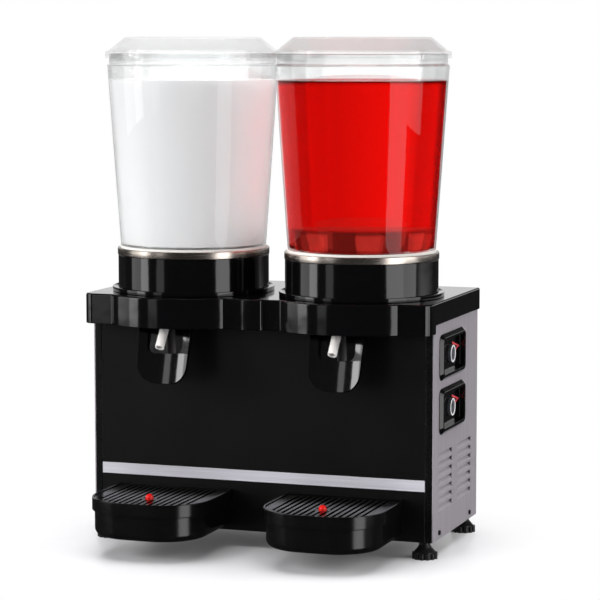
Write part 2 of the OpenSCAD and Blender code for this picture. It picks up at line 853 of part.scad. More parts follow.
module drip_tray(s) {
  step = 3;
  inner_r = tray_corner - step - tray_wall;
  floor_top = tray_low + tray_wall;
  color([0.09, 0.09, 0.09]) translate([s * bowl_x, 0, 0]) {
    difference() {
      tray_sweep(tray_back, tray_low, tray_top) cup_profile(tray_corner - step, tray_low, tray_top, 8);
      tray_sweep(tray_back - tray_wall, floor_top, tray_top + 1)
        cup_profile(inner_r, floor_top, tray_top + 1, 6);
      tray_sweep(tray_back - tray_wall, grille_top - grille_t, tray_top + 1)
        translate([0, grille_top - grille_t]) square([tray_corner - tray_wall, band_h]);
    }
    // overhanging rim band
    difference() {
      tray_sweep(tray_back, tray_top - band_h, tray_top)
        translate([0, tray_top - band_h]) square([tray_corner, band_h]);
      tray_sweep(tray_back - tray_wall, tray_top - band_h - 1, tray_top + 1)
        translate([0, tray_top - band_h - 1]) square([inner_r, band_h + 2]);
      tray_sweep(tray_back - tray_wall, grille_top - grille_t, tray_top + 1)
        translate([0, grille_top - grille_t]) square([tray_corner - tray_wall, band_h]);
    }
    for (t = [-1, 1])
      translate([t * tongue_x - tongue_w / 2, tray_back - 1, tongue_z - tongue_t / 2])
        cube([tongue_w, 12, tongue_t]);
  }
}

module left_drip_tray() drip_tray(-1);
module right_drip_tray() drip_tray(1);

float_y = front_y - 84;
float_hole = 11.6;

module drip_grille(s) {
  low = grille_top - grille_t;
  edge_r = tray_corner - tray_wall - slide_gap;
  back = tray_back - tray_wall - slide_gap;
  border = 6;
  slots = floor((tray_w - 24) / slot_pitch / 2);
  color([0.09, 0.09, 0.09]) translate([s * bowl_x, 0, 0]) difference() {
    union() {
      difference() {
        tray_sweep(back, low, grille_top) translate([0, low]) square([edge_r, grille_t]);
        intersection() {
          tray_sweep(back - border, low - 1, grille_top + 1)
            translate([0, low - 1]) square([edge_r - border, grille_t + 2]);
          for (i = [-slots:slots])
            translate([i * slot_pitch - slot_w / 2, back - tray_reach, low - 2])
              cube([slot_w, tray_reach, grille_t + 4]);
        }
      }
      translate([0, float_y, low]) cylinder(d = float_hole + 6, h = grille_t);
    }
    translate([0, float_y, low - 1]) cylinder(d = float_hole, h = grille_t + 2);
  }
}

module left_drip_grille() drip_grille(-1);
module right_drip_grille() drip_grille(1);

module overflow_float(s) {
  cap_r = 4.6;
  floor_top = tray_low + tray_wall;
  color("red") translate([s * bowl_x, float_y, floor_top + 0.2]) {
    cylinder(r = 13, h = 8);
    cylinder(r = 3, h = grille_top - floor_top);
    translate([0, 0, grille_top - floor_top - 2]) cylinder(r = cap_r, h = 3.2);
    translate([0, 0, grille_top - floor_top + 1.2]) sphere(cap_r);
  }
}

module left_float() overflow_float(-1);
module right_float() overflow_float(1);

// Switches on the right side panel

switch_y = front_y + 74;
bezel_out = 4.5;
cup_l = bezel_l - 9;
cup_h = bezel_h - 9;
cup_in = 4;
cup_floor = 2;
knob_out = 2;
knob_shaft_d = 6;

// Frame at a switch: X along the panel's depth, Y up, Z out of the panel
module at_switch(i)
  translate([half_w, switch_y, base_z + switch_up + i * switch_pitch]) rotate([90, 0, 90]) children();

module switch_bezel(i) {
  lip = 4;
  color([0.04, 0.04, 0.05]) at_switch(i) difference() {
    union() {
      hull($fn = 32) {
        linear_extrude(0.6) rounded_rect(bezel_l, bezel_h, 9);
        translate([0, 0, bezel_out - 0.4])
          linear_extrude(0.4) rounded_rect(bezel_l - 2 * lip, bezel_h - 2 * lip, 6);
      }
      translate([0, 0, -cup_in]) linear_extrude(cup_in + 1) rounded_rect(cup_l, cup_h, 5);
    }
    translate([0, 0, cup_floor - cup_in])
      linear_extrude(cup_in + bezel_out) rounded_rect(cup_l - 5, cup_h - 5, 4);
    translate([0, 0, -cup_in - 1]) cylinder(d = knob_shaft_d + 2 * run_gap, h = cup_floor + 2);
  }
}

module upper_switch_bezel() switch_bezel(1);
module lower_switch_bezel() switch_bezel(0);

module switch_knob(i) {
  low = cup_floor - cup_in + 0.4;
  color([0.5, 0.5, 0.52]) at_switch(i) difference() {
    union() {
      translate([0, 0, low]) cylinder(d = knob_d, h = knob_out - low);
      translate([0, 0, -cup_in - 12]) cylinder(d = knob_shaft_d, h = cup_in + 12);
    }
    // pointer groove in the face
    translate([0, knob_d / 4, knob_out]) cube([1.6, knob_d / 2.6, 1.2], center = true);
  }
}

module upper_switch_knob() switch_knob(1);
module lower_switch_knob() switch_knob(0);

module switch_bodies() {
  color([0.2, 0.2, 0.2])
    for (i = [0, 1])
      at_switch(i) difference() {
        translate([0, 0, -cup_in - 13]) cube([36, 36, 26], center = true);
        translate([0, 0, -cup_in - 14]) cylinder(d = knob_shaft_d + 2 * run_gap, h = 16);
      }
}

// Cooling machinery inside the cabinet

comp_x = -inner_half + 133.3;
comp_y = rear_y - 94;
comp_r = 62;
comp_h = 150;
grommet_h = 9;
comp_z = floor_z + grommet_h + 3;

module compressor() {
  round_r = 26;
  color([0.08, 0.08, 0.08]) translate([comp_x, comp_y, comp_z]) {
    rotate_extrude()
      intersection() {
        translate([0, comp_h / 2]) rounded_rect(2 * comp_r, comp_h, round_r);
        square([comp_r + 1, comp_h]);
      }
    translate([-85, -55, -3]) cube([170, 110, 3.5]);
    translate([-comp_r - 12, -20, 40]) cube([30, 40, 50]);
  }
}

module compressor_grommets() {
  color("black")
    for (sx = [-1, 1], sy = [-1, 1])
      translate([comp_x + sx * 74, comp_y + sy * 44, floor_z]) cylinder(r = 9, h = grommet_h);
}

cond_t = 30;
cond_x = inner_half - cond_t - 13.3;
cond_y = front_y + 24;
cond_l = body_d - 48;
cond_h = 108;
cond_rows = 6;
row_pitch = 17;
row_up = 12;
row_end = 5;

module condenser() {
  fin_pitch = 9.4;
  fins = floor(cond_l / fin_pitch);
  tube_r = 4;
  color([0.6, 0.6, 0.6]) translate([cond_x, cond_y, floor_z]) {
    for (y = [0, cond_l - 1.5]) translate([0, y, 0]) cube([cond_t, 1.5, cond_h]);
    for (i = [1:fins - 1]) translate([2, i * fin_pitch, 4]) cube([cond_t - 4, 0.7, cond_h - 6]);
    for (i = [0:cond_rows - 1])
      translate([cond_t / 2, -row_end, row_up + i * row_pitch])
        rotate([-90, 0, 0]) cylinder(r = tube_r, h = cond_l + 2 * row_end);
  }
}

shroud_d = 14;
fan_z = floor_z + cond_h / 2;
fan_y = cond_y + cond_l / 2;
fan_x = cond_x - shroud_d;
fan_hole_r = 48;
fan_shaft_d = 5;

module fan_shroud() {
  wall = 2;
  color([0.15, 0.15, 0.15]) difference() {
    translate([fan_x, cond_y, floor_z]) cube([shroud_d, cond_l, cond_h]);
    translate([fan_x + wall, cond_y + wall, floor_z + wall])
      cube([shroud_d, cond_l - 2 * wall, cond_h - 2 * wall]);
    translate([fan_x - 1, fan_y, fan_z]) rotate([0, 90, 0]) cylinder(r = fan_hole_r, h = wall + 2);
  }
}

// Frame at the fan, with Z along the fan's axis towards the condenser
module at_fan() translate([fan_x, fan_y, fan_z]) rotate([0, 90, 0]) children();

module fan_motor() {
  strap = 12;
  color([0.3, 0.3, 0.32]) at_fan() {
    translate([0, 0, -50]) cylinder(r = 24, h = 34);
    translate([-cond_h / 2, -strap / 2, -18]) cube([cond_h, strap, 2]);
    for (s = [-1, 1]) translate([s * (cond_h / 2 - 1) - 1, -strap / 2, -18]) cube([2, strap, 18]);
    translate([0, 0, -17]) cylinder(d = fan_shaft_d, h = 18);
  }
}

module fan_blade() {
  blades = 5;
  color([0.8, 0.8, 0.8]) at_fan() difference() {
    union() {
      translate([0, 0, -13]) cylinder(r = 12, h = 14);
      for (i = [0:blades - 1])
        rotate([0, 0, i * 360 / blades])
          translate([27, 0, -6]) rotate([32, 0, 0]) cube([34, 20, 1.2], center = true);
    }
    translate([0, 0, -14]) cylinder(d = fan_shaft_d + 2 * run_gap, h = 15.5);
  }
}

cond_end = cond_y + cond_l + row_end;
drier_x = cond_x - 55;
drier_y = cond_end + 7;
drier_z = floor_z + 10;

module filter_drier() {
  color([0.72, 0.45, 0.2]) translate([drier_x - 45, drier_y, drier_z]) rotate([0, 90, 0])
    rotate_extrude()
      polygon([[0, 0], [3, 0], [8.5, 10], [8.5, 80], [3, 90], [0, 90]]);
}

module copper_pipe(points) {
  wire(rounded_route(points, 6), 3, 8, [0.5, 0.3, 0.8]);
}

module copper_lines() {
  header_z = cover_top - 60;
  back_y = bowl_y + riser_back;
  top_row = floor_z + row_up + (cond_rows - 1) * row_pitch;
  low_row = floor_z + row_up;
  cond_mid = cond_x + cond_t / 2;
  out_x = comp_x + comp_r;
  out_z = comp_z + comp_h - 40;
  color([0.72, 0.45, 0.2]) {
    // suction: from both coils down and into the top of the compressor
    for (s = [-1, 1])
      copper_pipe([
        [s * bowl_x, back_y, coil_z - coil_r - 0.1],
        [s * bowl_x, back_y, header_z],
        [comp_x + 20 + s * 5, comp_y, header_z - 10],
        [comp_x + 20 + s * 5, comp_y, comp_z + comp_h + 0.05]
      ]);
    // discharge: compressor to the condenser's upper row
    copper_pipe([
      [out_x + 0.1, comp_y, out_z],
      [out_x + 40, comp_y, out_z],
      [out_x + 40, drier_y, out_z],
      [cond_mid, drier_y, top_row],
      [cond_mid, cond_end + 0.1, top_row]
    ]);
    // liquid: condenser's lower row to the drier
    copper_pipe([
      [cond_mid, cond_end + 0.1, low_row],
      [cond_mid, drier_y, low_row],
      [drier_x + 45.1, drier_y, drier_z]
    ]);
  }
}

module terminal_box() {
  color([0.85, 0.85, 0.82])
    translate([-inner_half, rear_y - 95, base_z + 125]) cube([42, 80, 62]);
}

module power_inlet() {
  cavity = [24, 18, 16.5];
  color([0.1, 0.1, 0.1]) translate([inlet_x, rear_y, inlet_z]) rotate([-90, 0, 0]) {
    difference() {
      union() {
        translate([0, 0, inlet_flange / 2]) cube([inlet_w + 18, inlet_h + 4, inlet_flange], center = true);
        translate([0, 0, -10]) cube([inlet_w, inlet_h, 20.2], center = true);
      }
      translate([0, 0, inlet_flange - cavity.z / 2]) cube(cavity + [0, 0, 0.2], center = true);
    }
    for (p = [[-7, 2], [0, -2], [7, 2]])
      translate([p.x, p.y, inlet_flange - cavity.z + 4]) cube([2, 4, 9], center = true);
  }
}

// Feet

module levelling_foot(s, y) {
  lobes = 12;
  base_r = 12.4;
  lobe_r = 2.6;
  base_t = 7;
  neck_r = 6.5;
  stud_l = 20;
  color([0.06, 0.06, 0.06]) translate([s * foot_x, y, 0]) {
    linear_extrude(base_t) {
      circle(base_r);
      for (i = [0:lobes - 1]) rotate(360 * i / lobes) translate([base_r, 0]) circle(lobe_r);
    }
    rotate_extrude()
      polygon([
        [0, base_t - 1], [base_r, base_t - 1], [base_r, base_t + 1], [neck_r + 1.5, foot_h - 7],
        [neck_r, foot_h - 4], [neck_r, foot_h], [0, foot_h]
      ]);
    translate([0, 0, foot_h - 1]) cylinder(d = stud_d, h = stud_l + 1);
  }
}

module front_left_foot() levelling_foot(-1, foot_y[0]);
module front_right_foot() levelling_foot(1, foot_y[0]);
module rear_left_foot() levelling_foot(-1, foot_y[1]);
module rear_right_foot() levelling_foot(1, foot_y[1]);

base_pan();
foot_nuts();
front_panel();
trim_stripe();
corner_posts();
left_side_panel();
right_side_panel();
rear_panel();
panel_screws();
top_cover();
left_collar();
right_collar();
left_evaporator();
right_evaporator();
evaporator_coils();
foam_rings();
mixer_motors();
left_drive_magnet();
right_drive_magnet();
left_agitator();
right_agitator();
left_gasket();
right_gasket();
left_bowl();
right_bowl();
left_lid();
right_lid();
left_outlet_tube();
right_outlet_tube();
tap_brackets();
lever_pins();
left_tap_lever();
right_tap_lever();
left_tap_spring();
right_tap_spring();
left_drip_tray();
right_drip_tray();
left_drip_grille();
right_drip_grille();
left_float();
right_float();
upper_switch_bezel();
lower_switch_bezel();
upper_switch_knob();
lower_switch_knob();
switch_bodies();
compressor();
compressor_grommets();
condenser();
fan_shroud();
fan_motor();
fan_blade();
filter_drier();
copper_lines();
terminal_box();
power_inlet();
front_left_foot();
front_right_foot();
rear_left_foot();
rear_right_foot();
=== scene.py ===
"""Looks of a twin bowl cold drink dispenser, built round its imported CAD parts."""

import math

import bpy
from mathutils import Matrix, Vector
from mathutils.geometry import tessellate_polygon


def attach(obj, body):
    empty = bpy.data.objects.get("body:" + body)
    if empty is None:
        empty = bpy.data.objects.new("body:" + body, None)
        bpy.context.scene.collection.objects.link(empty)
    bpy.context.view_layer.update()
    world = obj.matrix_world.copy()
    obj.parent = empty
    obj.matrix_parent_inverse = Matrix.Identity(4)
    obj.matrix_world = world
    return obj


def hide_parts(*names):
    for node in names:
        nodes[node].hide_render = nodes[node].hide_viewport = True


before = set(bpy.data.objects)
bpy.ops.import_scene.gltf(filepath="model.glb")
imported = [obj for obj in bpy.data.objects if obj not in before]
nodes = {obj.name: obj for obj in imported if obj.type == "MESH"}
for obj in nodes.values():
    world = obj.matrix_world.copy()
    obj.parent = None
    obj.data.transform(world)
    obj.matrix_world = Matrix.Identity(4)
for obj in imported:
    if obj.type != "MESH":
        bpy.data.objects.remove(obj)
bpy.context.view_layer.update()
scene = bpy.context.scene

# Heights and places of the CAD frame, in millimetres
BOWL_X, BOWL_Y = 105.0, 26.75
COVER_TOP, COLLAR_TOP, PLATE_TOP = 296.0, 339.5, 347.6
BOWL_FOOT, SHOULDER, RIM = 349.9, 562.9, 576.3
BOWL_BASE_R, BOWL_TOP_R, RIM_R, BOWL_WALL = 86.2, 101.0, 98.75, 2.5
BOWL_LEDGE, BOWL_FLOOR = 8.0, 3.0
FILL_LINE = 545.0
AGITATOR_TURN, AGITATOR_WINDOWS = -64, 6
FRONT_Y, REAR_Y = -31.25, 158.75
COVER_FRONT, COVER_HALF, COVER_CORNER, COVER_WALL = -58.25, 212.0, 13.0, 2.2
FRONT_SKIRT_LOW, SIDE_SKIRT_LOW = 260.6, 270.4
BULGE_W, BULGE_OUT, BULGE_CREASE, BAND_W, BAND_OUT = 141.0, 26.0, 4.0, 27.0, 5.0
SWITCH_Y, SWITCH_Z = 42.75, {"lower": 167.5, "upper": 230.0}
SIDE_X, SWITCH_FLOOR_X, KNOB_GROOVE_X = 209.5, 207.5, 210.9
SIDES = (("left", -1), ("right", 1))


def mm(*values):
    """Millimetres as metres."""
    return tuple(v / 1000 for v in values)


# Materials


def linear(hex_colour):
    """An sRGB hex value as linear red, green, blue and alpha."""
    out = []
    for i in (1, 3, 5):
        c = int(hex_colour[i:i + 2], 16) / 255
        out.append(c / 12.92 if c <= 0.04045 else ((c + 0.055) / 1.055) ** 2.4)
    return (*out, 1.0)


def add(tree, kind, inputs=None, **settings):
    """A node with its settings, and its inputs set to values or linked to other nodes' outputs."""
    made = tree.nodes.new(kind)
    for name, value in settings.items():
        setattr(made, name, value)
    for name, value in (inputs or {}).items():
        if isinstance(value, bpy.types.NodeSocket):
            tree.links.new(value, made.inputs[name])
        else:
            made.inputs[name].default_value = value
    return made


def finish_of(name, **sockets):
    """A new material with its shader's own sockets set; gives the material, its tree and the shader."""
    mat = bpy.data.materials.new(name)
    mat.use_nodes = True
    tree = mat.node_tree
    shader = tree.nodes["Principled BSDF"]
    for socket, value in sockets.items():
        shader.inputs[socket.replace("_", " ")].default_value = value
    return mat, tree, shader


def blend(tree, share, first, second):
    """Mixes two shaders into the material's output; share is how much of the second one there is."""
    mix = add(tree, "ShaderNodeMixShader", {0: share, 1: first, 2: second})
    tree.links.new(mix.outputs["Shader"], tree.nodes["Material Output"].inputs["Surface"])


def grain(tree, size, stretch=(1, 1, 1), detail=3.0, rough=0.55):
    """Noise in the row frame whose features are size millimetres across, drawn out by stretch."""
    place = add(tree, "ShaderNodeTexCoord")
    squeeze = add(tree, "ShaderNodeMapping", {"Vector": place.outputs["Object"]}, vector_type="POINT")
    squeeze.inputs["Scale"].default_value = [1000 / size / s for s in stretch]
    return add(tree, "ShaderNodeTexNoise",
               {"Vector": squeeze.outputs["Vector"], "Scale": 1.0, "Detail": detail, "Roughness": rough})


def shade(tree, fac, *stops):
    """A colour ramp of (place, hex) stops read along fac."""
    ramp = add(tree, "ShaderNodeValToRGB", {"Fac": fac})
    while len(ramp.color_ramp.elements) < len(stops):
        ramp.color_ramp.elements.new(0.5)
    for element, (place, colour) in zip(ramp.color_ramp.elements, stops):
        element.position = place
        element.color = linear(colour)
    return ramp.outputs["Color"]


def span(tree, value, low, high):
    """value, from 0 to 1, spread over low to high."""
    return add(tree, "ShaderNodeMapRange", {"Value": value, "To Min": low, "To Max": high}).outputs["Result"]


def tint(tree, shader, fac, *stops):
    """The shader's colour, read along fac from (place, hex) stops."""
    tree.links.new(shade(tree, fac, *stops), shader.inputs["Base Color"])


def roughen(tree, shader, fac, low, high):
    """The shader's roughness, from low to high along fac."""
    tree.links.new(span(tree, fac, low, high), shader.inputs["Roughness"])


def relief(tree, shader, height, depth, strength=1.0):
    """Bump of depth millimetres on the shader."""
    bump = add(tree, "ShaderNodeBump", {"Height": height, "Distance": depth / 1000, "Strength": strength})
    tree.links.new(bump.outputs["Normal"], shader.inputs["Normal"])


def gloss_abs(name, ior=1.54):
    """Black ABS from a polished mould: mirror gloss, with the slow waviness of a shrunk moulding; a higher
    ior gives the deeper gloss of a lacquered one."""
    mat, tree, shader = finish_of(name, IOR=ior)
    wave = grain(tree, 26, detail=1.0)
    dust = grain(tree, 1.4, detail=4.0)
    tint(tree, shader, dust.outputs["Fac"], (0.3, "#040405"), (0.75, "#080809"))
    roughen(tree, shader, dust.outputs["Fac"], 0.05, 0.13)
    relief(tree, shader, wave.outputs["Fac"], 0.25, 0.5)
    return mat


def powder_coat(name, dark, pale, low, high):
    """Sheet steel under satin powder coat: the fine orange peel of melted powder."""
    mat, tree, shader = finish_of(name, IOR=1.5)
    peel = grain(tree, 1.1, detail=2.0)
    cloud = grain(tree, 70, detail=2.0)
    tint(tree, shader, cloud.outputs["Fac"], (0.3, dark), (0.7, pale))
    roughen(tree, shader, peel.outputs["Fac"], low, high)
    relief(tree, shader, peel.outputs["Fac"], 0.06, 0.45)
    return mat


def textured_abs(name, dark, pale, low, high):
    """Black plastic from a spark-eroded mould: an even satin grit."""
    mat, tree, shader = finish_of(name, IOR=1.53)
    grit = grain(tree, 0.7, detail=2.0)
    cloud = grain(tree, 30, detail=3.0)
    tint(tree, shader, cloud.outputs["Fac"], (0.3, dark), (0.7, pale))
    roughen(tree, shader, grit.outputs["Fac"], low, high)
    relief(tree, shader, grit.outputs["Fac"], 0.05, 0.5)
    return mat


def brushed(name, dark, pale, low, high, stretch, line=0.5, metallic=1.0):
    """Metal drawn through a brushing belt: long fine scratches along one direction."""
    mat, tree, shader = finish_of(name, Metallic=metallic)
    scratch = grain(tree, line, stretch, detail=4.0, rough=0.65)
    broad = grain(tree, line * 9, stretch, detail=2.0)
    both = add(tree, "ShaderNodeMath", {0: scratch.outputs["Fac"], 1: broad.outputs["Fac"]},
               operation="MULTIPLY")
    tint(tree, shader, both.outputs["Value"], (0.08, dark), (0.45, pale))
    roughen(tree, shader, scratch.outputs["Fac"], low, high)
    relief(tree, shader, scratch.outputs["Fac"], 0.012, 0.6)
    return mat


def galvanised():
    """Hot-dip galvanised sheet: flat zinc crystals about a centimetre across."""
    mat, tree, shader = finish_of("steel_galvanised", Metallic=0.6)
    place = add(tree, "ShaderNodeTexCoord")
    spangle = add(tree, "ShaderNodeTexVoronoi", {"Vector": place.outputs["Object"], "Scale": 1000 / 11})
    fine = grain(tree, 2.0, detail=4.0)
    level = add(tree, "ShaderNodeSeparateColor", {"Color": spangle.outputs["Color"]})
    tint(tree, shader, level.outputs["Red"], (0.0, "#9da0a2"), (1.0, "#b0b3b5"))
    roughen(tree, shader, fine.outputs["Fac"], 0.36, 0.55)
    return mat


def clear_pc(name, rough, depth, plain):
    """Clear polycarbonate moulding: see-through, with faint flow marks round the wall; plain is the share of
    light that goes straight on, as through a thin wall."""
    mat, tree, shader = finish_of(name, Base_Color=linear("#fbfdfd"), IOR=1.5, Roughness=rough,
                                  Transmission_Weight=1.0)
    flow = grain(tree, 16, (1, 1, 4), detail=2.0)
    relief(tree, shader, flow.outputs["Fac"], depth, 0.4)
    straight = add(tree, "ShaderNodeBsdfTransparent")
    blend(tree, plain, shader.outputs["BSDF"], straight.outputs["BSDF"])
    return mat


def red_drink():
    """Cherry syrup drink: clear red water, so the light from behind comes through coloured."""
    mat, tree, shader = finish_of("drink_clear_red", Base_Color=linear("#d80a07"), IOR=1.333, Roughness=0.0,
                                  Transmission_Weight=1.0)
    # the drink lies against the wall, so nearly no gloss comes from between them; this tint counts once on
    # the way in and once on the way out
    wet = add(tree, "ShaderNodeBsdfRefraction", {"Color": linear("#ee4238"), "IOR": 1.333, "Roughness": 0.0})
    blend(tree, 0.92, shader.outputs["BSDF"], wet.outputs["BSDF"])
    return mat


def white_drink():
    """Cloudy white drink: milky water that scatters most of the light and lets a little through."""
    mat, tree, shader = finish_of("drink_cloudy_white", IOR=1.333, Roughness=0.2, Transmission_Weight=0.15,
                                  Subsurface_Weight=0.4, Subsurface_Radius=mm(12, 12, 12),
                                  Subsurface_Scale=1.0)
    haze = grain(tree, 90, (1, 1, 3), detail=1.0)
    tint(tree, shader, haze.outputs["Fac"], (0.3, "#f1f2f3"), (0.7, "#f7f7f8"))
    return mat


def silicone(name, colour, rough, glow):
    """Cast silicone rubber: a soft skin that lets light in a few millimetres."""
    mat, tree, shader = finish_of(name, Base_Color=linear(colour), IOR=1.41, Subsurface_Weight=glow,
                                  Subsurface_Radius=mm(2, 2, 2), Subsurface_Scale=1.0)
    skin = grain(tree, 1.5, detail=3.0)
    roughen(tree, shader, skin.outputs["Fac"], rough - 0.06, rough + 0.08)
    relief(tree, shader, skin.outputs["Fac"], 0.03, 0.3)
    return mat


def moulded(name, dark, pale, rough, metallic=0.0):
    """Plain moulded or cast surface with a slight cloudiness."""
    mat, tree, shader = finish_of(name, Metallic=metallic)
    cloud = grain(tree, 6, detail=4.0)
    tint(tree, shader, cloud.outputs["Fac"], (0.3, dark), (0.7, pale))
    roughen(tree, shader, cloud.outputs["Fac"], rough - 0.05, rough + 0.07)
    return mat


GLOSS_BLACK = gloss_abs("abs_gloss_black")
LEVER_BLACK = gloss_abs("abs_lacquered_black", 2.0)
PANEL_BLACK = powder_coat("steel_powder_coat_black", "#050505", "#090909", 0.34, 0.44)
PAN_GREY = powder_coat("steel_powder_coat_grey", "#2a2a2b", "#313132", 0.45, 0.6)
POST_BLACK = textured_abs("pvc_extruded_black", "#050506", "#0a0a0b", 0.22, 0.32)
TRAY_BLACK = textured_abs("abs_satin_black", "#050505", "#090909", 0.14, 0.22)
FOOT_BLACK = textured_abs("polyamide_black", "#0a0a0a", "#141414", 0.35, 0.5)
INLET_BLACK = textured_abs("pbt_black", "#101010", "#191919", 0.4, 0.55)
STRIPE = brushed("foil_satin_silver", "#bdbbc4", "#d6d4dc", 0.34, 0.46, (90, 1, 1), metallic=0.25)
SIDE_STEEL = brushed("stainless_brushed_sheet", "#a39da4", "#b6b0b7", 0.36, 0.46, (1, 1, 110), line=0.6,
                     metallic=0.45)
RING_STEEL = brushed("stainless_turned_ring", "#b9aea4", "#e6ddd4", 0.2, 0.32, (60, 60, 1))
ZINC = moulded("steel_zinc_plated", "#a9abac", "#c5c7c8", 0.28, 1.0)
BLACK_SCREW = moulded("steel_black_oxide", "#0d0d0d", "#1b1b1b", 0.35, 0.6)
GALVANISED = galvanised()
BOWL_CLEAR = clear_pc("polycarbonate_clear_bowl", 0.0, 0.05, 0.5)
LID_CLEAR = clear_pc("polycarbonate_clear_lid", 0.04, 0.08, 0.82)
RED_DRINK = red_drink()
WHITE_DRINK = white_drink()
GASKET = silicone("silicone_white_gasket", "#eceae5", 0.45, 0.2)
TUBE = silicone("silicone_translucent_tube", "#dcd9d6", 0.35, 0.4)
AGITATOR = moulded("polypropylene_grey", "#857d7d", "#918989", 0.4)
FLOAT_RED = moulded("polypropylene_red", "#b80f0b", "#d4150f", 0.22)
MARK_RED = moulded("ink_red", "#c2303a", "#d8444e", 0.4)
MARK_DARK_RED = moulded("ink_dark_red", "#2c0508", "#3a080c", 0.4)
# painted light: the white panes stand in for the light seen through the agitator's open windows
WINDOW_LIGHT_WHITE = moulded("painted_window_light_white", "#fafaf8", "#ffffff", 0.4)
KNOB_GREY = moulded("abs_grey", "#3f4044", "#4e4f53", 0.3)
RING_WHITE = moulded("abs_white", "#e4e4e6", "#eeeef0", 0.3)
COPPER = moulded("copper_drawn", "#a8592f", "#c9774a", 0.3, 1.0)
FOAM = moulded("foam_polyurethane", "#d9cf9f", "#e6deb4", 0.85)
PALE_PLASTIC = moulded("polystyrene_pale", "#d5d4cd", "#dedcd5", 0.45)
MOTOR_SHELL = moulded("aluminium_cast", "#8e9093", "#a2a4a7", 0.4, 1.0)
MAGNET = moulded("ferrite_magnet", "#2b2c30", "#37383c", 0.5, 0.3)
ENAMEL_BLACK = moulded("enamel_black", "#0f0f10", "#181819", 0.3)

LOOKS = {
    GLOSS_BLACK: ["upper_switch_bezel", "lower_switch_bezel"],
    LEVER_BLACK: ["left_tap_lever", "right_tap_lever"],
    PANEL_BLACK: ["front_panel"],
    PAN_GREY: ["base_pan"],
    POST_BLACK: ["corner_posts"],
    TRAY_BLACK: ["left_drip_tray", "right_drip_tray", "left_drip_grille", "right_drip_grille"],
    FOOT_BLACK: ["front_left_foot", "front_right_foot", "rear_left_foot", "rear_right_foot",
                 "compressor_grommets"],
    INLET_BLACK: ["power_inlet", "switch_bodies", "fan_shroud"],
    STRIPE: ["trim_stripe"],
    SIDE_STEEL: ["left_side_panel", "right_side_panel"],
    ZINC: ["foot_nuts", "lever_pins", "left_tap_spring", "right_tap_spring"],
    BLACK_SCREW: ["panel_screws"],
    GALVANISED: ["rear_panel", "tap_brackets"],
    GASKET: ["left_gasket", "right_gasket"],
    TUBE: ["left_outlet_tube", "right_outlet_tube"],
    AGITATOR: ["left_agitator", "right_agitator"],
    FLOAT_RED: ["left_float", "right_float"],
    COPPER: ["copper_lines", "evaporator_coils", "filter_drier"],
    FOAM: ["foam_rings"],
    PALE_PLASTIC: ["terminal_box", "fan_blade"],
    MOTOR_SHELL: ["mixer_motors", "fan_motor", "condenser"],
    MAGNET: ["left_drive_magnet", "right_drive_magnet"],
    ENAMEL_BLACK: ["compressor"],
    KNOB_GREY: ["upper_switch_knob", "lower_switch_knob"],
}


def dress(obj, mat):
    """Gives an object one material."""
    obj.data.materials.clear()
    obj.data.materials.append(mat)


for look, names in LOOKS.items():
    for name in names:
        dress(nodes[name], look)


def soften(name, width):
    """Rounds a CAD solid's edges by width millimetres, as a mould or a deburred sheet leaves them."""
    obj = nodes[name]
    weld = obj.modifiers.new("weld", "WELD")
    weld.merge_threshold = 2e-6
    flat = obj.modifiers.new("flat_faces", "DECIMATE")
    flat.decimate_type = "DISSOLVE"
    flat.angle_limit = math.radians(0.4)
    bevel = obj.modifiers.new("edges", "BEVEL")
    bevel.width = width / 1000
    bevel.segments = 3
    bevel.limit_method = "ANGLE"
    bevel.angle_limit = math.radians(32)
    normals = obj.modifiers.new("normals", "WEIGHTED_NORMAL")
    normals.weight = 60


for name, width in (("left_tap_lever", 0.8), ("right_tap_lever", 0.8),
                    ("upper_switch_bezel", 0.7), ("lower_switch_bezel", 0.7),
                    ("left_drip_tray", 0.8), ("right_drip_tray", 0.8),
                    ("left_drip_grille", 0.5), ("right_drip_grille", 0.5),
                    ("power_inlet", 0.5), ("front_panel", 0.3)):
    soften(name, width)


# Turned and moulded pieces


def round_corners(profile, radii, steps=5):
    """The closed profile with its corners rounded; radii maps a corner's number to its radius."""
    out = []
    count = len(profile)
    for i, point in enumerate(profile):
        r = radii.get(i, 0)
        if not r:
            out.append(point)
            continue
        p, before, after = (Vector(q) for q in (point, profile[i - 1], profile[(i + 1) % count]))
        a, b = (before - p).normalized(), (after - p).normalized()
        half = a.angle(b) / 2
        reach = r / math.tan(half)
        centre = p + (a + b).normalized() * (r / math.sin(half))
        start, end = p + a * reach - centre, p + b * reach - centre
        turn = start.angle_signed(end)
        for k in range(steps + 1):
            t = -turn * k / steps
            c, s = math.cos(t), math.sin(t)
            out.append((centre.x + c * start.x - s * start.y, centre.y + s * start.x + c * start.y))
    return out


def mesh_object(name, points, faces, mat):
    """A new object of points in metres, smooth except at its sharp edges."""
    mesh = bpy.data.meshes.new(name)
    mesh.from_pydata(points, [], faces)
    mesh.polygons.foreach_set("use_smooth", [True] * len(mesh.polygons))
    mesh.set_sharp_from_angle(angle=math.radians(38))
    mesh.update()
    obj = bpy.data.objects.new(name, mesh)
    scene.collection.objects.link(obj)
    dress(obj, mat)
    return obj


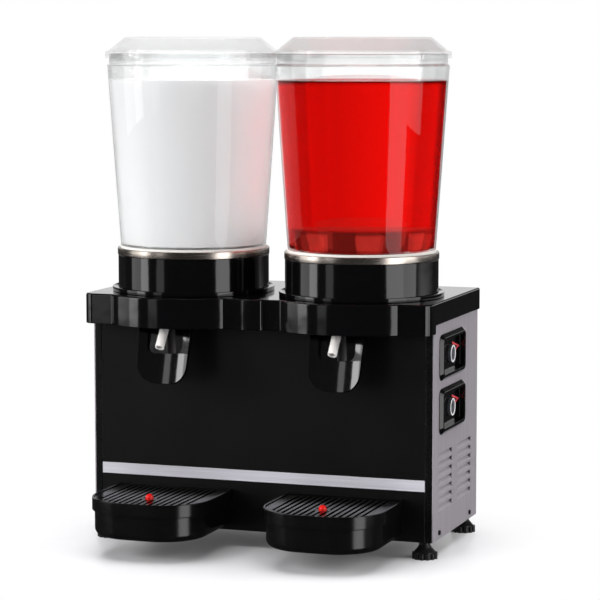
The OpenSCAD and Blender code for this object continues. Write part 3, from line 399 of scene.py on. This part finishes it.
def turn_on_lathe(name, profile, centre, mat, steps=160, bend=None):
    """A closed profile of (radius, height) in millimetres turned about an upright axis.
    bend(angle, radius, height) may move a point's radius."""
    points, rings = [], []
    for r, z in profile:
        if r < 1e-6:
            rings.append([len(points)])
            points.append(mm(centre[0], centre[1], z))
            continue
        rings.append(list(range(len(points), len(points) + steps)))
        for k in range(steps):
            a = 2 * math.pi * k / steps
            q = bend(a, r, z) if bend else r
            points.append(mm(centre[0] + q * math.cos(a), centre[1] + q * math.sin(a), z))
    faces = []
    for i, low in enumerate(rings):
        high = rings[(i + 1) % len(rings)]
        if len(low) == 1 and len(high) == 1:
            continue
        for k in range(steps):
            n = (k + 1) % steps
            if len(low) == 1:
                faces.append((low[0], high[n], high[k]))
            elif len(high) == 1:
                faces.append((low[k], low[n], high[0]))
            else:
                faces.append((low[k], low[n], high[n], high[k]))
    return mesh_object(name, points, faces, mat)


def place(obj, body, slot, *replaced):
    """Lets a piece ride on a body and hides the CAD nodes it stands for; slot is not used."""
    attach(obj, body)
    if replaced:
        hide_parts(*replaced)
    return obj


def arc(centre, r, start, end, steps):
    """Points on an arc between two angles in degrees."""
    angles = (math.radians(start + (end - start) * k / steps) for k in range(steps + 1))
    return [(centre[0] + r * math.cos(a), centre[1] + r * math.sin(a)) for a in angles]


def cover_plan(inset, banded=True):
    """The cover's sides and front in plan, from its back left corner round to its back right one, drawn in by
    inset; banded tells whether the raised band in the middle of the front is there."""
    bulge_r = ((BULGE_W / 2) ** 2 + BULGE_OUT ** 2) / (2 * BULGE_OUT)
    bulge_y = COVER_FRONT - BULGE_OUT + bulge_r
    dy = bulge_y - COVER_FRONT + BULGE_CREASE
    dx = math.sqrt((bulge_r + BULGE_CREASE) ** 2 - dy ** 2)
    lean = math.degrees(math.atan2(dy, dx))
    w, corner, step = COVER_HALF - inset, COVER_CORNER - inset, FRONT_Y - 0.3
    band_x = BAND_W / 2 - BAND_OUT
    band = arc((-band_x, COVER_FRONT), BAND_OUT - inset, 180, 270, 10)
    band += arc((band_x, COVER_FRONT), BAND_OUT - inset, 270, 360, 10)
    band = [(x, min(y, COVER_FRONT + inset) if banded else COVER_FRONT + inset) for x, y in band]
    plan = [(-w, REAR_Y), (-w, step), (-w, step - 0.01)]
    plan += arc((corner - w, COVER_FRONT + COVER_CORNER), corner, 180, 270, 8)
    for s in (-1, 1):
        x = s * BOWL_X
        plan += arc((x - dx, bulge_y - dy), BULGE_CREASE + inset, 90, lean, 8)
        plan += arc((x, bulge_y), bulge_r - inset, 180 + lean, 360 - lean, 60)
        plan += arc((x + dx, bulge_y - dy), BULGE_CREASE + inset, 180 - lean, 90, 8)
        plan += band if s < 0 else []
    plan += arc((w - corner, COVER_FRONT + COVER_CORNER), corner, 270, 360, 8)
    return plan + [(w, step - 0.01), (w, step), (w, REAR_Y)]


def top_cover():
    """The cover as one moulded shell: skirts deeper at the front than at the sides, a rounded top edge, an
    open back and a hole under each collar."""
    edge_r, lip, guard, hole_r, hole_steps = 2.0, 0.5, 0.6, 85.0, 72
    ceiling = COVER_TOP - COVER_WALL
    # (inset, height or None for the skirt's low edge, height above that); guard rings keep the flats flat
    rings = [(lip, None, 0), (0, None, lip), (0, None, lip + guard), (0, COVER_TOP - edge_r - guard, 0),
             (0, COVER_TOP - edge_r, 0)]
    for angle in (18, 36, 54, 72, 90):
        a = math.radians(angle)
        rings.append((edge_r * (1 - math.cos(a)), COVER_TOP - edge_r * (1 - math.sin(a)), 0))
    rings.append((edge_r + guard, COVER_TOP, 0))
    points, loops = [], []

    def ring(inset, z, up, banded=True):
        loop = []
        for x, y in cover_plan(inset, banded):
            low = FRONT_SKIRT_LOW if y < FRONT_Y - 0.305 else SIDE_SKIRT_LOW
            loop.append(len(points))
            points.append((x, y, (low if z is None else z) + up))
        loops.append(loop)

    ring(COVER_WALL, ceiling, 0, False)
    ring(COVER_WALL, None, 0, False)
    for inset, z, up in rings:
        ring(inset, z, up)
    faces = [(a[k], a[k + 1], b[k + 1], b[k]) for a, b in zip(loops, loops[1:]) for k in range(len(a) - 1)]
    faces.append([loop[0] for loop in loops] + [loop[-1] for loop in reversed(loops)])
    holes = {}
    for z in (ceiling, COVER_TOP):
        holes[z] = []
        for _, s in SIDES:
            holes[z].append(list(range(len(points), len(points) + hole_steps)))
            rim = arc((s * BOWL_X, BOWL_Y), hole_r, 0, 360 - 360 / hole_steps, hole_steps - 1)
            points.extend((x, y, z) for x, y in rim)
    for z, loop, flip in ((ceiling, loops[0], True), (COVER_TOP, loops[-1], False)):
        outlines = [loop, *holes[z]]
        index = [i for outline in outlines for i in outline]
        flat = [[Vector((*points[i][:2], 0)) for i in outline] for outline in outlines]
        for tri in tessellate_polygon(flat):
            a, b, c = (Vector(points[index[i]]) for i in tri)
            upward = (b - a).cross(c - a).z > 0
            corners = [index[i] for i in tri]
            faces.append(corners[::-1] if upward == flip else corners)
    for low, high in zip(holes[ceiling], holes[COVER_TOP]):
        faces += [(low[k], high[k], high[k - 1], low[k - 1]) for k in range(hole_steps)]
    return mesh_object("top_cover_shell", [mm(*p) for p in points], faces, GLOSS_BLACK)


place(top_cover(), "cabinet", "gloss_black_abs", "top_cover")


def collar_profile():
    """The black collar: a floor with a foot rim round it, a thin wall and a thicker top that holds the plate."""
    r, z, top, foot_r, shaft_r, floor = 89.5, COVER_TOP, COLLAR_TOP, 96.5, 10.5, 3.0
    inner, seat_r = r - 3, r - 7.5
    return round_corners(
        [(shaft_r, z), (foot_r, z), (foot_r, z + 5.5), (foot_r - 1.2, z + 5.5), (r, z + 2.8), (r, top),
         (seat_r, top), (seat_r, top - 3), (inner, top - 8), (inner, z + floor), (shaft_r, z + floor)],
        {1: 0.8, 2: 0.5, 3: 0.5, 4: 1.0, 5: 0.8, 6: 0.5})


def evaporator_profile():
    """The cold plate: a shallow cap whose rim shows as a bright ring, with the agitator's pin in it."""
    r, z, top, sheet, pin_r, pin_top = 90.2, COLLAR_TOP, PLATE_TOP, 2.0, 4.0, PLATE_TOP + 22
    return round_corners(
        [(0, top - sheet), (r - sheet, top - sheet), (r - sheet, z), (r, z), (r, top), (pin_r, top),
         (pin_r, pin_top), (0, pin_top)],
        {3: 0.3, 4: 0.9, 6: 0.6})


def bowl_profile():
    """The bowl: a ledge at its open foot, a wall that widens upwards, a shoulder and an upright rim."""
    base, top, rim, wall, floor = BOWL_BASE_R, BOWL_TOP_R, RIM_R, BOWL_WALL, BOWL_FOOT + BOWL_FLOOR
    return round_corners(
        [(base - BOWL_LEDGE, BOWL_FOOT), (base, BOWL_FOOT), (top, SHOULDER), (rim, SHOULDER + 2), (rim, RIM),
         (rim - wall, RIM), (rim - wall, SHOULDER + 1.5), (top - wall, SHOULDER - 1), (base - wall, floor),
         (base - BOWL_LEDGE, floor)],
        {1: 0.7, 2: 1.0, 3: 0.6, 4: 0.9, 5: 0.9, 7: 0.8, 8: 1.5})


def lid_profile():
    """The lid: a plug inside the bowl's rim, a flange with a skirt outside it, a slope and a flat top."""
    r, z, top, low, skirt = 103.5, RIM, RIM + 19.2, RIM - 9.5, RIM - 5.5
    ceiling, plug, skirt_r = top - 2.2, RIM_R - BOWL_WALL - 0.4, r - 1.8
    return round_corners(
        [(0, ceiling), (r - 25, ceiling), (plug - 2, z + 4.5), (plug - 2, low), (plug, low), (plug, z),
         (skirt_r, z), (skirt_r, skirt), (r, skirt), (r, z + 2.0), (r - 4, z + 3.4), (r - 23.5, top),
         (0, top)],
        {1: 5.0, 3: 0.6, 4: 0.6, 7: 0.4, 8: 0.6, 9: 1.0, 10: 1.5, 11: 6.0})


def lid_notches(angle, r, z):
    """Eight finger notches in the edge of the lid's flange."""
    pitch, half_width, depth = 45.0, 1.5, 1.1
    if r < 100 or z < RIM - 1:
        return r
    off = abs(math.degrees(angle) % pitch - pitch / 2)
    return r - depth * max(0.0, 1 - (off / half_width) ** 2)


def window_light_pane(name, axis, turn):
    """White pane in one of the agitator's windows, whose white is painted light standing in for the light seen
    through the open window: a rounded trapezium, bent to the bell's cone.
    """
    low_r, lean, sill, head, half_low, half_top = 56.0, 5.5 / 28, 3.2, 23.8, 13.3, 16.3
    foot = PLATE_TOP + 0.4
    outline = round_corners([(-half_low, sill), (half_low, sill), (half_top, head), (-half_top, head)],
                            dict.fromkeys(range(4), 3))
    count = len(outline)
    points = []
    for depth in (1.8, 0.7):
        for across, up in [(0, (sill + head) / 2), *outline]:
            r = low_r + lean * up - depth
            a = math.radians(turn) + math.asin(across / r)
            points.append(mm(axis[0] + r * math.cos(a), axis[1] + r * math.sin(a), foot + up))
    faces = []
    for k in range(count):
        a, b = 1 + k, 1 + (k + 1) % count
        back, front = (0, b, a), (count + 1, count + 1 + a, count + 1 + b)
        faces += [back, front, (a, b, count + 1 + b, count + 1 + a)]
    return mesh_object(name, points, faces, WINDOW_LIGHT_WHITE)


def drink_profile(level):
    """The drink fills the bowl to its wall, just into it, with a small rise of the surface at the wall."""
    into, bottom = 0.35, PLATE_TOP - 0.2
    lean = (BOWL_TOP_R - BOWL_BASE_R) / (SHOULDER - BOWL_FOOT)
    low = BOWL_BASE_R - BOWL_WALL + into
    edge = low + lean * (level - BOWL_FOOT - BOWL_FLOOR)
    ledge, floor = BOWL_BASE_R - BOWL_LEDGE - into, BOWL_FOOT + BOWL_FLOOR - into
    return [(0, bottom), (ledge, bottom), (ledge, floor), (low, floor), (edge, level + 0.9),
            (edge - 0.9, level + 0.5), (edge - 2.6, level), (0, level)]


for side, s in SIDES:
    axis = (s * BOWL_X, BOWL_Y)
    place(turn_on_lathe(f"{side}_collar_moulding", collar_profile(), axis, GLOSS_BLACK),
          "cabinet", "gloss_black_abs", f"{side}_collar")
    place(turn_on_lathe(f"{side}_cold_plate", evaporator_profile(), axis, RING_STEEL),
          "cabinet", "brushed_stainless", f"{side}_evaporator")
    bowl = place(turn_on_lathe(f"{side}_clear_bowl", bowl_profile(), axis, BOWL_CLEAR),
                 f"{side}_bowl_unit", "clear_polycarbonate", f"{side}_bowl")
    lid = place(turn_on_lathe(f"{side}_clear_lid", lid_profile(), axis, LID_CLEAR, 360, lid_notches),
                f"{side}_lid_unit", "clear_polycarbonate", f"{side}_lid")
    bowl.visible_shadow = lid.visible_shadow = False
    # a white pane in each window is painted light, in place of the light seen through the open window
    for k in range(AGITATOR_WINDOWS):
        turn = AGITATOR_TURN + 360 / AGITATOR_WINDOWS * k
        pane = window_light_pane(f"{side}_agitator_pane_{k + 1}", axis, turn)
        place(pane, f"{side}_agitator_unit", "pale_plastic")
    drink_look = RED_DRINK if s > 0 else WHITE_DRINK
    drink = turn_on_lathe(f"{side}_drink", drink_profile(FILL_LINE), axis, drink_look)
    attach(drink, f"{side}_bowl_unit")
    drink.visible_shadow = drink.visible_diffuse = s < 0


def across_panel(name, profile, switch, mat):
    """A turned piece whose axis stands out of the right side panel at a switch; heights run outwards."""
    obj = turn_on_lathe(name, profile, (0, 0), mat, 72)
    side_x, y, z = mm(SIDE_X, SWITCH_Y, SWITCH_Z[switch])
    for v in obj.data.vertices:
        right, above, out = v.co
        v.co = (side_x + out, y + right, z + above)
    return obj


KNOB_RING = round_corners([(8.3, 1.6), (10.15, 1.6), (10.15, 2.5), (8.3, 2.5)], {2: 0.4, 3: 0.4})

for switch in ("upper", "lower"):
    ring = across_panel(f"{switch}_knob_ring", KNOB_RING, switch, RING_WHITE)
    place(ring, f"{switch}_switch_knob_unit", "pale_plastic")


def flat_mark(name, outline, mat, floor_x=SWITCH_FLOOR_X):
    """A thin print on the floor of a switch's recess, or on another floor; outline runs counter-clockwise in
    (y, z) seen from outside."""
    count = len(outline)
    points = [mm(floor_x + h, y, z) for h in (-0.05, 0.1) for y, z in outline]
    faces = [tuple(range(count, 2 * count)), tuple(reversed(range(count)))]
    faces += [(k, (k + 1) % count, count + (k + 1) % count, count + k) for k in range(count)]
    return mesh_object(name, points, faces, mat)


# an arrow on each recess floor, of two red lines round a dark red field, and a pointer in each knob's groove
ARROW_TAIL, ARROW_TIP, ARROW_RISE, ARROW_HALF, ARROW_LINE = 52.8, 82.8, 5.0, 8.0, 2.6
ARROW_NOTCH = ARROW_TIP - ARROW_LINE / (ARROW_HALF / (ARROW_TIP - ARROW_TAIL)) / 1.6
POINTER_LOW, POINTER_TOP, POINTER_HALF, POINTER_ROUND = 1.4, 8.0, 0.75, 0.6

for switch, z in SWITCH_Z.items():
    mid, field = z + ARROW_RISE, ARROW_HALF - ARROW_LINE
    for end, s in (("upper", 1), ("lower", -1)):
        arm = [(ARROW_TAIL, mid + s * ARROW_HALF), (ARROW_TIP, mid), (ARROW_NOTCH, mid),
               (ARROW_TAIL, mid + s * field)]
        place(flat_mark(f"{switch}_switch_{end}_arrow_line", arm[::-s], MARK_RED), "cabinet", "red_plastic")
    wedge = [(ARROW_TAIL, mid - field), (ARROW_NOTCH, mid), (ARROW_TAIL, mid + field)]
    place(flat_mark(f"{switch}_switch_arrow_field", wedge, MARK_DARK_RED), "cabinet", "red_plastic")
    near, far, low, top = SWITCH_Y - POINTER_HALF, SWITCH_Y + POINTER_HALF, z + POINTER_LOW, z + POINTER_TOP
    groove = round_corners([(near, low), (far, low), (far, top), (near, top)],
                           dict.fromkeys(range(4), POINTER_ROUND))
    pointer = flat_mark(f"{switch}_knob_pointer", groove, RING_WHITE, KNOB_GROOVE_X)
    place(pointer, f"{switch}_switch_knob_unit", "pale_plastic")


# Studio


# distance of the lamps and the point they stand round, in metres
AWAY = 30.0
MIDDLE_Z = 0.28


def soft_box(name, left, right, low, high, glow, mirrored=True, lights=True):
    """A lamp box round the machine between two azimuths (0 in front, 90 to the right) and two heights, in
    degrees; glow is how bright it looks. A box that isn't mirrored lights paint but shows in no gloss, and one
    that doesn't light only shows in gloss."""
    turn = math.radians((left + right) / 2)
    bottom, top = (MIDDLE_Z + AWAY * math.tan(math.radians(d)) for d in (low, high))
    lamp = bpy.data.lights.new(name, "AREA")
    lamp.shape = "RECTANGLE"
    lamp.size = 2 * AWAY * math.tan(math.radians(right - left) / 2)
    lamp.size_y = top - bottom
    lamp.energy = math.pi * glow * lamp.size * lamp.size_y
    obj = bpy.data.objects.new(name, lamp)
    scene.collection.objects.link(obj)
    obj.location = (AWAY * math.sin(turn), -AWAY * math.cos(turn), (top + bottom) / 2)
    obj.rotation_euler = (math.pi / 2, 0, turn)
    obj.visible_glossy = mirrored
    obj.visible_diffuse = lights
    obj.visible_camera = obj.visible_transmission = False
    return obj


left_boxes = [soft_box("left_box_near_edge", -66, -52, -6.6, 30, 3.4),
              soft_box("left_box", -87, -66, -6.6, 30, 1.3),
              soft_box("left_strip", -37, -25, -6.6, 36, 0.75)]
# the left boxes are flagged off the red drink's bowl, so that the drink shows without a veil
flag = bpy.data.collections.new("flagged_off")
flag.objects.link(bpy.data.objects["right_clear_bowl"])
flag.collection_objects[0].light_linking.link_state = "EXCLUDE"
for box in left_boxes:
    box.light_linking.receiver_collection = flag
soft_box("right_box_near_edge", 55, 82, -20, 30, 2.6, lights=False)
soft_box("right_box", 82, 106, -7.5, 30, 2.0, lights=False)
soft_box("left_fill", -80, -16, 2, 40, 4.6, mirrored=False)
soft_box("right_fill", -16, 60, 2, 40, 0.8, mirrored=False)
soft_box("side_fill", 72, 125, 2, 40, 3.8, mirrored=False)
soft_box("back_fill", 150, 210, 2, 40, 1.2, mirrored=False)
top_fill = soft_box("top_fill", -25, 25, -25, 25, 4.0, mirrored=False)
top_fill.location = (0, 0.1, AWAY)
top_fill.rotation_euler = (0, 0, 0)

world = bpy.data.worlds.new("studio")
scene.world = world
world.use_nodes = True
sky = world.node_tree
sky.nodes.clear()
path = add(sky, "ShaderNodeLightPath")
way = add(sky, "ShaderNodeTexCoord")
parts = add(sky, "ShaderNodeSeparateXYZ", {"Vector": way.outputs["Generated"]})


def rise(value, low, high):
    """0 below low, 1 above high."""
    return add(sky, "ShaderNodeMapRange", {"Value": value, "From Min": low, "From Max": high},
               interpolation_type="SMOOTHSTEP").outputs["Result"]


def maths(operation, a, b):
    """One sum in the world's tree."""
    return add(sky, "ShaderNodeMath", {0: a, 1: b}, operation=operation).outputs["Value"]


across, along, up = (parts.outputs[axis] for axis in "XYZ")
# gloss sees a white backdrop behind the machine, from the table's height up to about 12 degrees
backdrop_height = maths("MULTIPLY", rise(up, -0.03, 0.03), maths("SUBTRACT", 1.0, rise(up, 0.17, 0.26)))
backdrop = maths("MULTIPLY", rise(along, 0.25, 0.5), backdrop_height)
mirrored = span(sky, backdrop, 0.03, 1.0)
# clear bowls and drinks let through the backdrop's whole sweep, which stands a little round to the right and
# is brighter to the sides
sweep = rise(maths("ADD", along, maths("MULTIPLY", across, 0.5)), -0.02, 0.06)
glow_through = maths("ADD", 0.8, maths("MULTIPLY", maths("ABSOLUTE", across, 0.0), 1.05))
through = maths("MULTIPLY", sweep, glow_through)
seen = add(sky, "ShaderNodeMix", {0: path.outputs["Is Transmission Ray"], 2: mirrored, 3: through},
           data_type="FLOAT")
level = add(sky, "ShaderNodeMix", {0: path.outputs["Is Camera Ray"], 2: seen.outputs[0], 3: 1.0},
            data_type="FLOAT")
glow = add(sky, "ShaderNodeBackground", {"Color": (1, 1, 1, 1), "Strength": level.outputs[0]})
add(sky, "ShaderNodeOutputWorld", {"Surface": glow.outputs["Background"]})


def studio_floor():
    """White acrylic sheet under the machine, which runs out into the white backdrop."""
    mat, tree, shader = finish_of("acrylic_white_sheet", Base_Color=linear("#f0f0f2"), IOR=1.3)
    streak = grain(tree, 60, detail=2.0)
    roughen(tree, shader, streak.outputs["Fac"], 0.2, 0.3)
    spot = add(tree, "ShaderNodeTexCoord")
    far = add(tree, "ShaderNodeVectorMath", {0: spot.outputs["Object"]}, operation="LENGTH")
    fade = add(tree, "ShaderNodeMapRange", {"Value": far.outputs["Value"], "From Min": 0.17, "From Max": 0.4},
               interpolation_type="SMOOTHSTEP")
    ray = add(tree, "ShaderNodeLightPath")
    direct = add(tree, "ShaderNodeMath", {0: ray.outputs["Is Camera Ray"], 1: ray.outputs["Is Glossy Ray"]},
                 operation="MAXIMUM")
    shown = add(tree, "ShaderNodeMath", {0: direct.outputs["Value"], 1: ray.outputs["Is Transmission Ray"]},
                operation="MAXIMUM")
    share = add(tree, "ShaderNodeMath", {0: fade.outputs["Result"], 1: shown.outputs["Value"]},
                operation="MULTIPLY")
    white = add(tree, "ShaderNodeEmission", {"Color": (1, 1, 1, 1), "Strength": 1.0})
    blend(tree, share.outputs["Value"], shader.outputs["BSDF"], white.outputs["Emission"])
    return mat


FLOOR_HALF, FLOOR_FRONT, FLOOR_BACK = 0.9, -0.46, 0.62
floor = mesh_object("studio_floor",
                    [(-FLOOR_HALF, FLOOR_FRONT, 0), (FLOOR_HALF, FLOOR_FRONT, 0), (FLOOR_HALF, FLOOR_BACK, 0),
                     (-FLOOR_HALF, FLOOR_BACK, 0)],
                    [(0, 1, 2, 3)], studio_floor())
# the black surfaces don't mirror the pale floor
floor.visible_glossy = False

# the photo's camera: 6 degrees above the level, 19 degrees round to the right
CAMERA_DIP, CAMERA_TURN = 6.0304, 19.0710
camera = bpy.data.cameras.new("camera")
camera.lens = 148.286
camera.sensor_width = 36
camera.clip_start, camera.clip_end = 0.05, 100
camera_obj = bpy.data.objects.new("camera", camera)
scene.collection.objects.link(camera_obj)
camera_obj.location = mm(973.7, -2705.9, 593.2)
camera_obj.rotation_euler = (math.radians(90 - CAMERA_DIP), 0, math.radians(CAMERA_TURN))
scene.camera = camera_obj
scene.view_settings.view_transform = "Standard"
